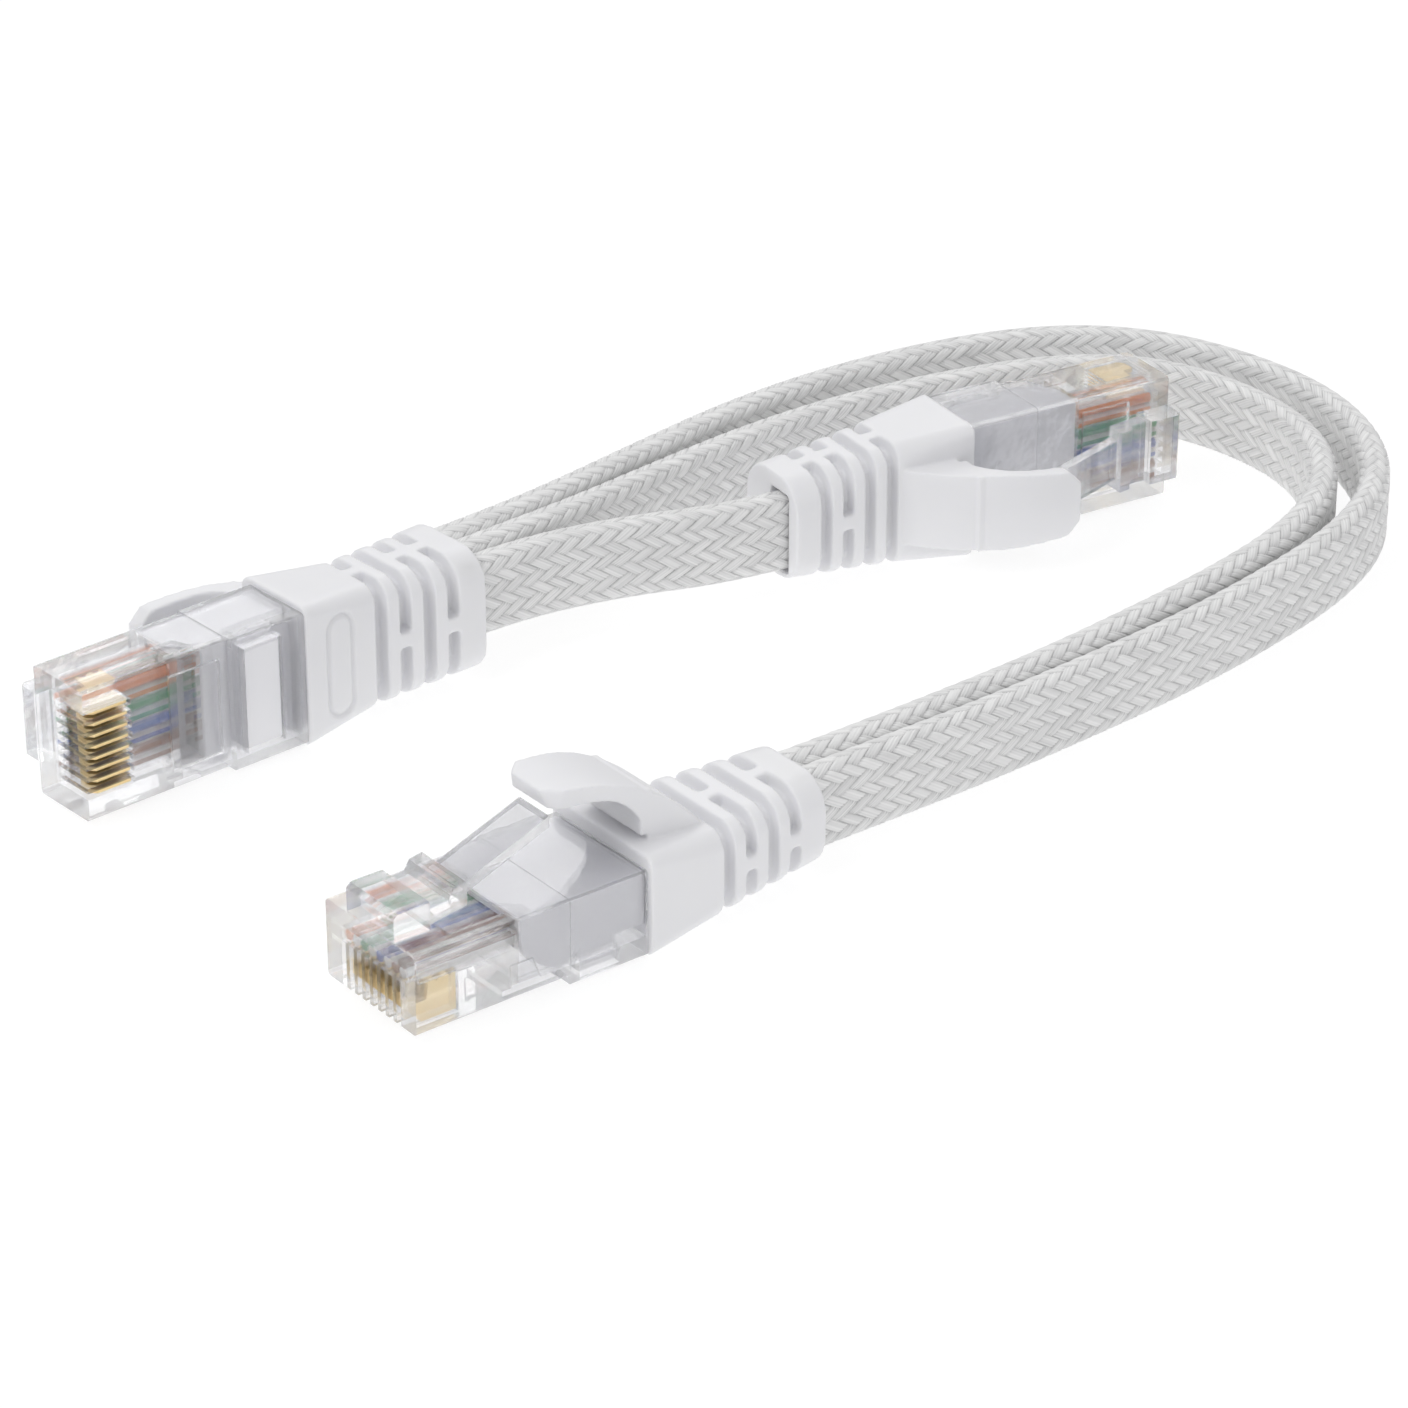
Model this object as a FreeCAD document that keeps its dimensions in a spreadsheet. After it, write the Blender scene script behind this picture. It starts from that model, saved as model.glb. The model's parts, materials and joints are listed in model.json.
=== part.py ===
import FreeCAD, Part

import math
import os

import Sketcher
from FreeCAD import Placement, Rotation, Vector

# Every plug is modelled in one local frame: X runs from the nose to the rear, Y across the eight
# contacts and Z from the contact face to the latch side. The plug's pose then lays it in the part's
# frame, which has Z up and its origin on the surface that the harness lies on.
SIZES = (
    ("nose_width", 11.68),
    ("nose_height", 6.7),
    ("shell_length", 21.5),
    ("collar_start", 14.2),
    ("collar_width", 11.98),
    ("collar_drop", 0.7),
    ("collar_rise", 0.08),
    ("edge_radius", 0.35),
    ("root_start", 0.1),
    ("root_end", 3.4),
    ("root_width", 6.2),
    ("root_height", 2.4),
    ("root_bevel", 0.4),
    ("cavity_start", 9.6),
    ("cavity_floor", 0.9),
    ("cavity_ceiling", 6.3),
    ("cavity_width", 10.9),
    ("channel_start", 0.9),
    ("channel_floor", 3.75),
    ("channel_height", 1.1),
    ("channel_width", 8.5),
    ("rail_start", 4.2),
    ("rail_gap", 8.6),
    ("rail_depth", 0.45),
    ("recess_start", 8.4),
    ("recess_end", 13.4),
    ("recess_depth", 0.45),
    ("window_start", 15.4),
    ("window_end", 19.2),
    ("window_width", 9.6),
    ("notch_start", 8.7),
    ("notch_end", 11.5),
    ("notch_floor", 1.0),
    ("notch_ceiling", 2.9),
    ("notch_depth", 0.35),
    ("contact_pitch", 1.016),
    ("contact_slot", 0.56),
    ("contact_thickness", 0.4),
    ("contact_start", 0.75),
    ("contact_end", 4.4),
    ("contact_bottom", 0.35),
    ("contact_shoulder", 2.1),
    ("contact_top", 4.0),
    ("slot_end", 4.6),
    ("wire_radius", 0.46),
    ("wire_start", 1.1),
    ("wire_axis", 4.3),
    ("guide_start", 9.9),
    ("guide_end", 12.1),
    ("guide_width", 9.2),
    ("guide_height", 1.5),
    ("guide_hole", 0.5),
    ("liner_start", 12.4),
    ("liner_end", 21.4),
    ("liner_width", 10.7),
    ("liner_floor", 1.05),
    ("liner_step", 2.05),
    ("liner_ceiling", 6.2),
    ("liner_tip", 9.9),
    ("liner_wall", 0.45),
    ("clamp_start", 15.6),
    ("clamp_end", 19.0),
    ("clamp_width", 9.2),
    ("clamp_bottom", -0.45),
    ("clamp_top", 1.95),
    ("clamp_radius", 0.3),
    ("lever_start", 3.55),
    ("lever_step", 6.9),
    ("lever_end", 15.3),
    ("lever_floor", 7.05),
    ("lever_tip_floor", 10.9),
    ("lever_thickness", 0.95),
    ("lever_width", 3.8),
    ("shoulder_width", 5.8),
    ("shoulder_start", 5.7),
    ("shoulder_rise", 1.0),
    ("core_start", 14.7),
    ("core_axis", 3.8),
    ("core_thickness", 3.0),
    ("core_width", 7.4),
    ("core_radius", 1.2),
    ("boot_width", 12.9),
    ("boot_bottom", -0.9),
    ("boot_top", 7.9),
    ("boot_edge", 1.0),
    ("smooth_length", 7.6),
    ("smooth_width", 11.6),
    ("smooth_bottom", -0.45),
    ("smooth_top", 7.3),
    ("smooth_edge", 1.8),
    ("tail_edge", 3.1),
    ("groove_width", 1.15),
    ("groove_depth", 1.2),
    ("groove_margin", 1.45),
    ("bridge_width", 1.3),
    ("bore_gap", 0.05),
    ("pocket_depth", 2.0),
    ("guard_foot", 28.6),
    ("guard_foot_top", 7.5),
    ("guard_hinge", 23.4),
    ("guard_hinge_top", 12.0),
    ("guard_gap", 0.3),
    ("guard_rest", 8.2),
    ("guard_crown", 16.8),
    ("guard_arch", 5.0),
    ("guard_arch_start", 19.6),
    ("guard_arch_top", 12.25),
    ("guard_tip", 14.4),
    ("guard_top", 14.3),
    ("guard_lip", 14.9),
    ("guard_underside", 12.7),
    ("guard_width", 7.2),
    ("guard_tip_width", 6.2),
    ("guard_corner", 1.3),
    ("ribbon_width", 7.4),
    ("ribbon_thickness", 2.9),
    ("ribbon_edge", 1.2),
)

# Each plug's pose (the place of its nose, the heading of its X axis and its roll, in degrees), its
# boot's length and tail width and height, the ribbons that its tail takes, whether their height lies
# along the plug's width, how far they stand off the axis, and the wires in order of Y.
WIRES = ("orange", "white_orange", "green", "white_green", "blue", "white_blue", "brown", "white_brown")
PLUGS = (
    dict(name="a", tip=(-43.25, -17.0), height=6.45, heading=41.4, roll=-90, boot=18.5,
         tail=(11.4, 10.6), ribbons=3, upright=True, shift=(-0.9, 0.0), wires=WIRES,
         bridges=(("side",), ("broad",), ("side",), ("broad", "side"))),
    dict(name="b", tip=(44.35, 50.3), height=6.45, heading=210.6, roll=-90, boot=18.5,
         tail=(9.6, 8.6), ribbons=1, upright=True, shift=(0.4, 1.2), wires=WIRES,
         bridges=(("side",), (), ("broad", "side"), ("side",))),
    dict(name="c", tip=(-18.95, -45.7), height=0.9, heading=37.9, roll=0, boot=18.5,
         tail=(9.6, 8.3), ribbons=2, upright=False, shift=(0.0, -0.1), wires=WIRES[::-1],
         bridges=((), ("broad", "side"), (), ("broad", "side"))),
)

# The routes of the ribbons' centre lines, from pocket floor to pocket floor.
ROUTES = {
    "ribbon_link": (
        (-15.27, 8.80, 7.35), (-10.39, 13.10, 7.35), (-1.7, 18.3, 7.0), (8.12, 23.06, 6.05),
        (14.14, 26.63, 6.05)),
    "ribbon_outer": (
        (-19.17, 13.23, 7.35), (-14.67, 17.19, 7.35), (-7.6, 25.9, 6.5), (0.0, 37.2, 5.3),
        (8.6, 48.9, 4.3), (18.2, 58.0, 3.75), (29.0, 64.4, 3.75), (39.6, 67.6, 3.75),
        (48.8, 66.2, 3.75), (56.8, 60.8, 3.75), (63.2, 53.2, 3.75), (66.3, 43.4, 3.75),
        (65.5, 33.0, 3.75), (61.0, 23.8, 3.75), (54.0, 15.0, 3.75), (46.0, 6.4, 3.75),
        (37.4, -1.4, 3.75), (28.2, -9.9, 4.05), (18.29, -18.58, 4.6), (11.98, -23.49, 4.6)),
    "ribbon_inner": (
        (-17.22, 11.01, 7.35), (-12.72, 14.98, 7.35), (-5.0, 23.7, 6.5), (2.5, 33.9, 5.3),
        (10.0, 43.4, 4.3), (18.8, 51.4, 3.75), (29.4, 57.1, 3.75), (39.4, 60.6, 3.75),
        (47.6, 60.0, 3.75), (54.6, 55.0, 3.75), (59.6, 48.0, 3.75), (61.6, 39.6, 3.75),
        (60.2, 31.2, 3.75), (56.2, 23.6, 3.75), (49.8, 15.6, 3.75), (42.2, 7.8, 3.75),
        (34.5, 0.3, 3.75), (26.1, -7.5, 4.05), (16.48, -16.25, 4.6), (10.17, -21.16, 4.6)),
}


class Length:
    """A length that knows its value and the sheet expression that it is bound to."""

    def __init__(self, value, text):
        self.value = value
        self.text = text

    def _joined(self, other, sign, value):
        return Length(value, "(%s %s %s)" % (self.text, sign, other.text))

    def __add__(self, other):
        other = as_length(other)
        return self._joined(other, "+", self.value + other.value)

    def __sub__(self, other):
        other = as_length(other)
        return self._joined(other, "-", self.value - other.value)

    def __radd__(self, other):
        return as_length(other) + self

    def __rsub__(self, other):
        return as_length(other) - self

    def __mul__(self, factor):
        return self._joined(as_length(factor), "*", self.value * factor)

    def __truediv__(self, factor):
        return self._joined(as_length(factor), "/", self.value / factor)

    def __neg__(self):
        return Length(-self.value, "(0 - %s)" % self.text)


def as_length(number):
    if isinstance(number, Length):
        return number
    return Length(float(number), "%g" % number if number >= 0 else "(0 - %g)" % -number)


class Sheet:
    """The spreadsheet of driving sizes, whose cells are read as attributes."""

    def __init__(self, doc):
        self.cells = doc.addObject("Spreadsheet::Sheet", "Sizes")
        for row, (alias, value) in enumerate(SIZES, start=1):
            self.cells.set("A%d" % row, alias)
            self.cells.set("B%d" % row, "%g" % value)
            self.cells.setAlias("B%d" % row, alias)
        doc.recompute()

    def __getattr__(self, alias):
        return Length(float(self.cells.get(alias)), "Sizes." + alias)


def bind(target, name, size):
    target.setExpression(name, as_length(size).text)


# ---------------------------------------------------------------- sketches and features


def new_body(doc, label):
    body = doc.addObject("PartDesign::Body", "Body_" + label)
    body.Label = label
    return body


def sketch_on(body, role, offset=0.0):
    """An empty sketch on one of the body's own origin planes, moved along the plane's normal."""
    sketch = body.newObject("Sketcher::SketchObject", "Outline")
    plane = next(item for item in body.Origin.OriginFeatures if item.Role == role)
    sketch.AttachmentSupport = [(plane, "")]
    sketch.MapMode = "FlatFace"
    offset = as_length(offset)
    sketch.AttachmentOffset = Placement(Vector(0, 0, offset.value), Rotation())
    bind(sketch, "AttachmentOffset.Base.z", offset)
    return sketch


def pin(sketch, index, end, corner):
    """Hold one end of an edge at a corner whose two lengths come from the sheet."""
    for axis, size in zip(("DistanceX", "DistanceY"), corner):
        size = as_length(size)
        made = sketch.addConstraint(Sketcher.Constraint(axis, index, end, size.value))
        sketch.renameConstraint(made, "%s%d" % (axis, index))
        bind(sketch, "Constraints.%s%d" % (axis, index), size)


def arc_between(start, end, radius):
    """The short arc between two points; it turns left where the radius is positive."""
    chord = end - start
    side = Vector(-chord.y, chord.x, 0).normalize()
    rise = math.sqrt(radius ** 2 - (chord.Length / 2) ** 2)
    turn = 1 if radius > 0 else -1
    centre = start + chord / 2 + side * (rise * turn)
    middle = centre - side * (abs(radius) * turn)
    return Part.Arc(start, middle, end)


def polygon(body, role, corners, offset=0.0):
    """A closed outline through the corners; a third entry makes the edge that follows an arc."""
    sketch = sketch_on(body, role, offset)
    places = [Vector(as_length(corner[0]).value, as_length(corner[1]).value, 0) for corner in corners]
    radii = [as_length(corner[2]) if len(corner) > 2 else None for corner in corners]
    count = len(places)
    for i, radius in enumerate(radii):
        start, end = places[i], places[(i + 1) % count]
        edge = arc_between(start, end, radius.value) if radius else Part.LineSegment(start, end)
        sketch.addGeometry(edge, False)
    # A sketch turns every arc left, so a right-hand arc starts at its second point.
    first = [2 if radius and radius.value < 0 else 1 for radius in radii]
    for i, radius in enumerate(radii):
        after = (i + 1) % count
        sketch.addConstraint(Sketcher.Constraint("Coincident", i, 3 - first[i], after, first[after]))
        pin(sketch, i, first[i], corners[i][:2])
        if radius:
            amount = radius if radius.value > 0 else -radius
            made = sketch.addConstraint(Sketcher.Constraint("Radius", i, amount.value))
            sketch.renameConstraint(made, "Radius%d" % i)
            bind(sketch, "Constraints.Radius%d" % i, amount)
    return sketch


def rectangle(body, role, low, high, offset=0.0):
    (u0, v0), (u1, v1) = low, high
    return polygon(body, role, ((u0, v0), (u1, v0), (u1, v1), (u0, v1)), offset)


def rounded(body, role, width, low, high, radius, offset):
    """A rectangle with round corners, centred across and reaching from low to high."""
    sketch = sketch_on(body, role, offset)
    half, edge = (width / 2).value, as_length(radius).value
    bottom, top = as_length(low).value, as_length(high).value
    corners = (
        (half - edge, bottom + edge, 270), (half - edge, top - edge, 0),
        (edge - half, top - edge, 90), (edge - half, bottom + edge, 180))
    for across, up, start in corners:
        circle = Part.Circle(Vector(across, up, 0), Vector(0, 0, 1), edge)
        first, last = math.radians(start), math.radians(start + 90)
        sketch.addGeometry(Part.ArcOfCircle(circle, first, last), False)
    ends = [Vector(half, bottom + edge, 0), Vector(half, top - edge, 0),
            Vector(half - edge, top, 0), Vector(edge - half, top, 0),
            Vector(-half, top - edge, 0), Vector(-half, bottom + edge, 0),
            Vector(edge - half, bottom, 0), Vector(half - edge, bottom, 0)]
    for i in range(4):
        sketch.addGeometry(Part.LineSegment(ends[2 * i], ends[2 * i + 1]), False)
    for i in range(4):
        sketch.addConstraint(Sketcher.Constraint("Tangent", i, 2, 4 + i, 1))
        sketch.addConstraint(Sketcher.Constraint("Tangent", 4 + i, 2, (i + 1) % 4, 1))
        if i:
            sketch.addConstraint(Sketcher.Constraint("Equal", 0, i))
    sketch.addConstraint(Sketcher.Constraint("Vertical", 4))
    sketch.addConstraint(Sketcher.Constraint("Horizontal", 5))
    sketch.addConstraint(Sketcher.Constraint("Horizontal", 7))
    driven = (
        ("Radius", (0,), radius), ("DistanceX", (4, 1), width / 2), ("DistanceX", (6, 1), -(width / 2)),
        ("DistanceY", (7, 1), low), ("DistanceY", (5, 1), high))
    for kind, where, size in driven:
        size = as_length(size)
        made = sketch.addConstraint(Sketcher.Constraint(kind, *where, size.value))
        name = "%s_%s" % (kind, "_".join(str(item) for item in where))
        sketch.renameConstraint(made, name)
        bind(sketch, "Constraints." + name, size)
    return sketch


def pad(body, sketch, length, both_ways=True):
    feature = body.newObject("PartDesign::Pad", "Pad")
    feature.Profile = sketch
    bind(feature, "Length", length)
    feature.SideType = "Symmetric" if both_ways else "One side"
    sketch.Visibility = False
    return feature


def pocket(body, sketch, length, both_ways=True, towards_normal=False):
    feature = body.newObject("PartDesign::Pocket", "Pocket")
    feature.Profile = sketch
    bind(feature, "Length", length)
    feature.SideType = "Symmetric" if both_ways else "One side"
    feature.Reversed = towards_normal
    sketch.Visibility = False
    return feature


def side_cut(body, low, high, width):
    """Cut a box that is centred across the plug and given by its side view."""
    return pocket(body, rectangle(body, "XZ_Plane", low, high), width)


def repeat(body, feature, length, count):
    """Copy one feature along the body's Y axis."""
    pattern = body.newObject("PartDesign::LinearPattern", "Row")
    pattern.Originals = [feature]
    axis = next(item for item in body.Origin.OriginFeatures if item.Role == "Y_Axis")
    pattern.Direction = (axis, [""])
    bind(pattern, "Length", length)
    pattern.Occurrences = count
    body.Tip = pattern
    return pattern


def long_edges(shape, outside=0.0):
    """Numbers of the straight edges along X that lie at least this far from the middle."""
    numbers = []
    for number, edge in enumerate(shape.Edges, start=1):
        ends = [vertex.Point for vertex in edge.Vertexes]
        if len(ends) == 2 and abs(ends[0].y) >= outside:
            if abs(abs(ends[1].x - ends[0].x) - edge.Length) < 1e-6:
                numbers.append(number)
    return numbers


def soften(doc, body, radius, outside):
    """Round the body's long edges that lie outside a distance from its middle."""
    doc.recompute()
    base = body.Tip
    feature = body.newObject("PartDesign::Fillet", "SoftEdges")
    feature.Base = (base, ["Edge%d" % number for number in long_edges(base.Shape, outside)])
    bind(feature, "Radius", radius)


def block(doc, label, low, high, radius=None):
    """A Part::Box between two corners, with rounded long edges where a radius is given."""
    box = doc.addObject("Part::Box", "Box_" + label)
    for name, axis, first, last in zip(("Length", "Width", "Height"), "xyz", low, high):
        bind(box, name, as_length(last) - first)
        bind(box, "Placement.Base." + axis, first)
    if radius is None:
        return box
    doc.recompute()
    softened = doc.addObject("Part::Fillet", "Soft_" + label)
    softened.Base = box
    edge = as_length(radius).value
    softened.Edges = [(number, edge, edge) for number in long_edges(box.Shape)]
    return softened


# ---------------------------------------------------------------- the clear plug


def make_shell(doc, size, plug):
    """The clear moulded shell with its comb of contact slots and the root of its latch."""
    body = new_body(doc, plug["name"] + "_plug_shell")
    top = size.nose_height
    nose = rectangle(body, "XZ_Plane", (0, 0), (size.collar_start + 1, top))
    pad(body, nose, size.nose_width)
    soften(doc, body, size.edge_radius, 0)
    collar = rectangle(body, "XZ_Plane", (size.collar_start, -size.collar_drop),
                       (size.shell_length, top + size.collar_rise))
    pad(body, collar, size.collar_width)
    soften(doc, body, size.edge_radius, size.nose_width.value / 2 + 0.1)
    root = polygon(body, "XZ_Plane", (
        (size.root_start, top - 0.5), (size.root_end, top - 0.5),
        (size.root_end, top + size.root_height),
        (size.root_start + size.root_bevel, top + size.root_height),
        (size.root_start, top + size.root_height - size.root_bevel)))
    pad(body, root, size.root_width)
    side_cut(body, (size.cavity_start, size.cavity_floor),
             (size.shell_length + 1, size.cavity_ceiling), size.cavity_width)
    side_cut(body, (size.channel_start, size.channel_floor),
             (size.cavity_start + 1, size.channel_floor + size.channel_height), size.channel_width)
    side_cut(body, (size.rail_start, top - size.rail_depth), (size.cavity_start - 0.4, top + 1),
             size.rail_gap)
    side_cut(body, (size.recess_start, -1), (size.recess_end, size.recess_depth), size.rail_gap)
    side_cut(body, (size.window_start, -2), (size.window_end, size.cavity_floor + 0.1),
             size.window_width)
    for side in (-1, 1):
        notch = polygon(body, "XZ_Plane", (
            (size.notch_start, size.notch_floor), (size.notch_end, size.notch_floor),
            (size.notch_end - 0.7, size.notch_ceiling), (size.notch_start, size.notch_ceiling)),
            size.nose_width * (0.5 * side))
        pocket(body, notch, size.notch_depth * 2)
    slot = rectangle(body, "XZ_Plane", (-1, -1), (size.slot_end, size.channel_floor + 0.1),
                     size.contact_pitch * 3.5)
    first = pocket(body, slot, size.contact_slot)
    repeat(body, first, size.contact_pitch * 7, 8)
    return body


def make_contacts(doc, size, plug):
    """Eight gold blades that stand in the comb and pierce the wires above them."""
    body = new_body(doc, plug["name"] + "_contacts")
    body.AllowCompound = True
    start, end = size.contact_start, size.contact_end
    blade = polygon(body, "XZ_Plane", (
        (start + 0.45, size.contact_bottom), (end, size.contact_bottom),
        (end, size.contact_top), (end - 0.5, size.contact_top - 0.6),
        (end - 1.1, size.contact_top), (end - 1.7, size.contact_top - 0.6),
        (start + 1.3, size.contact_top), (start + 1.0, size.contact_shoulder),
        (start, size.contact_shoulder), (start, size.contact_bottom + 0.5)),
        size.contact_pitch * 3.5)
    first = pad(body, blade, size.contact_thickness)
    repeat(body, first, size.contact_pitch * 7, 8)
    return body


def make_latch(doc, size, plug):
    """The spring lever of the shell, from its thin root to the end that the guard presses."""
    body = new_body(doc, plug["name"] + "_latch_lever")
    floor, step = size.lever_floor, size.lever_step
    thick = size.lever_thickness
    at_step = floor + 0.5
    wide = polygon(body, "XZ_Plane", (
        (size.lever_start, floor), (step, at_step), (step, at_step + thick + size.shoulder_rise),
        (size.shoulder_start, at_step + thick + size.shoulder_rise - 0.2),
        (size.shoulder_start - 0.5, at_step + thick), (size.lever_start, floor + thick + 0.4)))
    pad(body, wide, size.shoulder_width)
    narrow = polygon(body, "XZ_Plane", (
        (step - 0.6, at_step - 0.08), (size.lever_end, size.lever_tip_floor),
        (size.lever_end, size.lever_tip_floor + thick), (step - 0.6, at_step + thick)))
    pad(body, narrow, size.lever_width)
    return body


def make_guide(doc, size, plug):
    """The comb that spreads the wires before they reach the blades."""
    body = new_body(doc, plug["name"] + "_wire_guide")
    half = size.guide_height / 2
    comb = rectangle(body, "XZ_Plane", (size.guide_start, size.wire_axis - half),
                     (size.guide_end, size.wire_axis + half))
    pad(body, comb, size.guide_width)
    hole = sketch_on(body, "YZ_Plane", size.guide_start)
    place = Vector((size.contact_pitch * -3.5).value, size.wire_axis.value, 0)
    hole.addGeometry(Part.Circle(place, Vector(0, 0, 1), size.guide_hole.value), False)
    pin_centre(hole, (size.contact_pitch * -3.5, size.wire_axis), size.guide_hole)
    first = pocket(body, hole, size.guide_end - size.guide_start, False, True)
    repeat(body, first, size.contact_pitch * 7, 8)
    return body


def pin_centre(sketch, centre, radius):
    """Hold the sketch's only circle at a centre and radius from the sheet."""
    for kind, where, amount in (("DistanceX", (0, 3), centre[0]), ("DistanceY", (0, 3), centre[1]),
                                ("Radius", (0,), radius)):
        made = sketch.addConstraint(Sketcher.Constraint(kind, *where, amount.value))
        sketch.renameConstraint(made, kind + "_circle")
        bind(sketch, "Constraints." + kind + "_circle", amount)


def make_liner(doc, size, plug):
    """The white inner sleeve that locks the boot to the shell, with a tongue along each side."""
    body = new_body(doc, plug["name"] + "_inner_sleeve")
    outline = polygon(body, "XZ_Plane", (
        (size.liner_tip + 0.7, size.liner_floor + 1.5), (size.liner_start, size.liner_floor + 0.3),
        (size.liner_start + 0.8, size.liner_floor), (size.window_start - 1.2, size.liner_floor),
        (size.window_start - 0.2, size.liner_step), (size.liner_end, size.liner_step),
        (size.liner_end, size.liner_ceiling), (size.liner_tip, size.liner_ceiling),
        (size.liner_tip, size.liner_ceiling - 1.4), (size.liner_tip + 0.2, size.liner_floor + 2.2)))
    pad(body, outline, size.liner_width)
    inside = size.liner_width - size.liner_wall * 2
    side_cut(body, (size.liner_tip - 1, 0), (size.liner_start, size.liner_ceiling - 0.75), inside)
    half = size.core_thickness / 2 + size.bore_gap
    side_cut(body, (size.liner_start - 1, size.core_axis - half),
             (size.liner_end + 1, size.core_axis + half), size.guide_width)
    return body


def make_clamp(doc, size, plug):
    """The strain-relief bar that shows in the window of the contact face."""
    half = size.clamp_width / 2
    clamp = block(doc, plug["name"] + "_clamp", (size.clamp_start, -half, size.clamp_bottom),
                  (size.clamp_end, half, size.clamp_top), size.clamp_radius)
    clamp.Label = plug["name"] + "_cable_clamp"
    return clamp


def make_wires(doc, size, plug):
    """Eight insulated wires, side by side, from the nose to the cable's core."""
    wires = []
    for place, colour in enumerate(plug["wires"]):
        wire = doc.addObject("Part::Cylinder", "Wire_%s_%s" % (plug["name"], colour))
        wire.Label = "%s_wire_%s" % (plug["name"], colour)
        bind(wire, "Radius", size.wire_radius)
        bind(wire, "Height", size.core_start - size.wire_start)
        lies = Vector(size.wire_start.value, (place - 3.5) * size.contact_pitch.value,
                      size.wire_axis.value)
        wire.Placement = Placement(lies, Rotation(Vector(0, 1, 0), 90))
        wires.append(wire)
    return wires


def make_core(doc, size, plug):
    """The cable's inner core, which carries the wires from the ribbon through boot and sleeve."""
    across, up = size.core_width / 2, size.core_thickness / 2
    end = size.shell_length + plug["boot"] - size.pocket_depth
    core = block(doc, plug["name"] + "_core", (size.core_start, -across, size.core_axis - up),
                 (end, across, size.core_axis + up), size.core_radius)
    core.Label = plug["name"] + "_cable_core"
    return core


# ---------------------------------------------------------------- the boot and its guard


def make_boot_blank(doc, size, plug):
    """The boot before its grooves: a lofted sleeve with a bore for the core and a rear pocket."""
    body = new_body(doc, plug["name"] + "_boot_blank")
    front = size.shell_length + size.bore_gap
    bend = size.shell_length + size.smooth_length
    rear = size.shell_length + plug["boot"]
    low, high = size.boot_bottom, size.boot_top
    tail_width, tail_height = plug["tail"]
    tail_low = size.core_axis - tail_height / 2
    tail_high = size.core_axis + tail_height / 2
    sections = [
        rounded(body, "YZ_Plane", size.boot_width, low, high, size.boot_edge, front),
        rounded(body, "YZ_Plane", size.smooth_width, size.smooth_bottom, size.smooth_top,
                size.smooth_edge, bend),
        rounded(body, "YZ_Plane", as_length(tail_width), tail_low, tail_high, size.tail_edge, rear)]
    loft = body.newObject("PartDesign::AdditiveLoft", "Sleeve")
    loft.Profile = sections[0]
    loft.Sections = sections[1:]
    loft.Ruled = True
    doc.recompute()
    gap = size.bore_gap
    up = size.core_thickness / 2 + gap
    bore = rounded(body, "YZ_Plane", size.core_width + gap * 2, size.core_axis - up,
                   size.core_axis + up, size.core_radius, front - 1)
    pocket(body, bore, rear - front - size.pocket_depth + 1, False, True)
    stack = size.ribbon_thickness * plug["ribbons"] + gap * (plug["ribbons"] + 1)
    tall = size.ribbon_width + gap * 2
    wide, deep = (tall, stack) if plug["upright"] else (stack, tall)
    across, off = plug["shift"]
    low_corner = (wide / -2 + across, size.core_axis + off - deep / 2)
    high_corner = (wide / 2 + across, size.core_axis + off + deep / 2)
    mouth = rectangle(body, "YZ_Plane", low_corner, high_corner, rear - size.pocket_depth)
    pocket(body, mouth, size.pocket_depth + 1, False, True)
    return body


def section_at(size, plug, along):
    """Half width, bottom and top of the boot's outside at a distance behind its bend."""
    share = along / (plug["boot"] - size.smooth_length.value)
    width, height = plug["tail"]
    front = (size.smooth_width.value / 2, size.smooth_bottom.value, size.smooth_top.value)
    rear = (width / 2, size.core_axis.value - height / 2, size.core_axis.value + height / 2)
    return [start + (end - start) * share for start, end in zip(front, rear)]


def groove_tool(doc, size, plug, number, along, bridges):
    """One ring groove, less the core that it stops at and the bridges that cross it."""
    name = "%s_groove_%d" % (plug["name"], number)
    half, low, high = section_at(size, plug, along)
    start = size.shell_length + size.smooth_length + along
    end = start + size.groove_width
    depth = size.groove_depth.value
    ring = block(doc, name + "_ring", (start, -10, -6), (end, 10, 14))
    edge = size.tail_edge.value * 0.55 if number > 2 else size.smooth_edge.value * 0.7
    parts = [block(doc, name + "_core", (start - 1, depth - half, low + depth),
                   (end + 1, half - depth, high - depth), edge)]
    middle = (low + high) / 2
    bridge = size.bridge_width / 2
    if "broad" in bridges:
        parts.append(block(doc, name + "_broad", (start - 1, -bridge, -6), (end + 1, bridge, 14)))
    if "side" in bridges:
        parts.append(block(doc, name + "_side", (start - 1, -10, middle - bridge),
                           (end + 1, 10, middle + bridge)))
    kept = parts[0]
    if bridges:
        kept = doc.addObject("Part::MultiFuse", "Kept_" + name)
        kept.Shapes = parts
    tool = doc.addObject("Part::Cut", "Groove_" + name)
    tool.Base = ring
    tool.Tool = kept
    return tool


def make_boot(doc, size, plug):
    """The soft boot with its four staggered grooves and the seat of the guard arm."""
    moulded = doc.addObject("Part::Fuse", "Moulded_" + plug["name"])
    moulded.Base = make_boot_blank(doc, size, plug)
    moulded.Tool = make_guard_seat(doc, size, plug)
    ribbed = plug["boot"] - size.smooth_length.value - size.groove_margin.value
    pitch = ribbed / 4
    tools = [groove_tool(doc, size, plug, number, pitch * number, bridges)
             for number, bridges in enumerate(plug["bridges"])]
    grooves = doc.addObject("Part::MultiFuse", "Grooves_" + plug["name"])
    grooves.Shapes = tools
    boot = doc.addObject("Part::Cut", "Boot_" + plug["name"])
    boot.Base = moulded
    boot.Tool = grooves
    boot.Label = plug["name"] + "_boot"
    return boot


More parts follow.
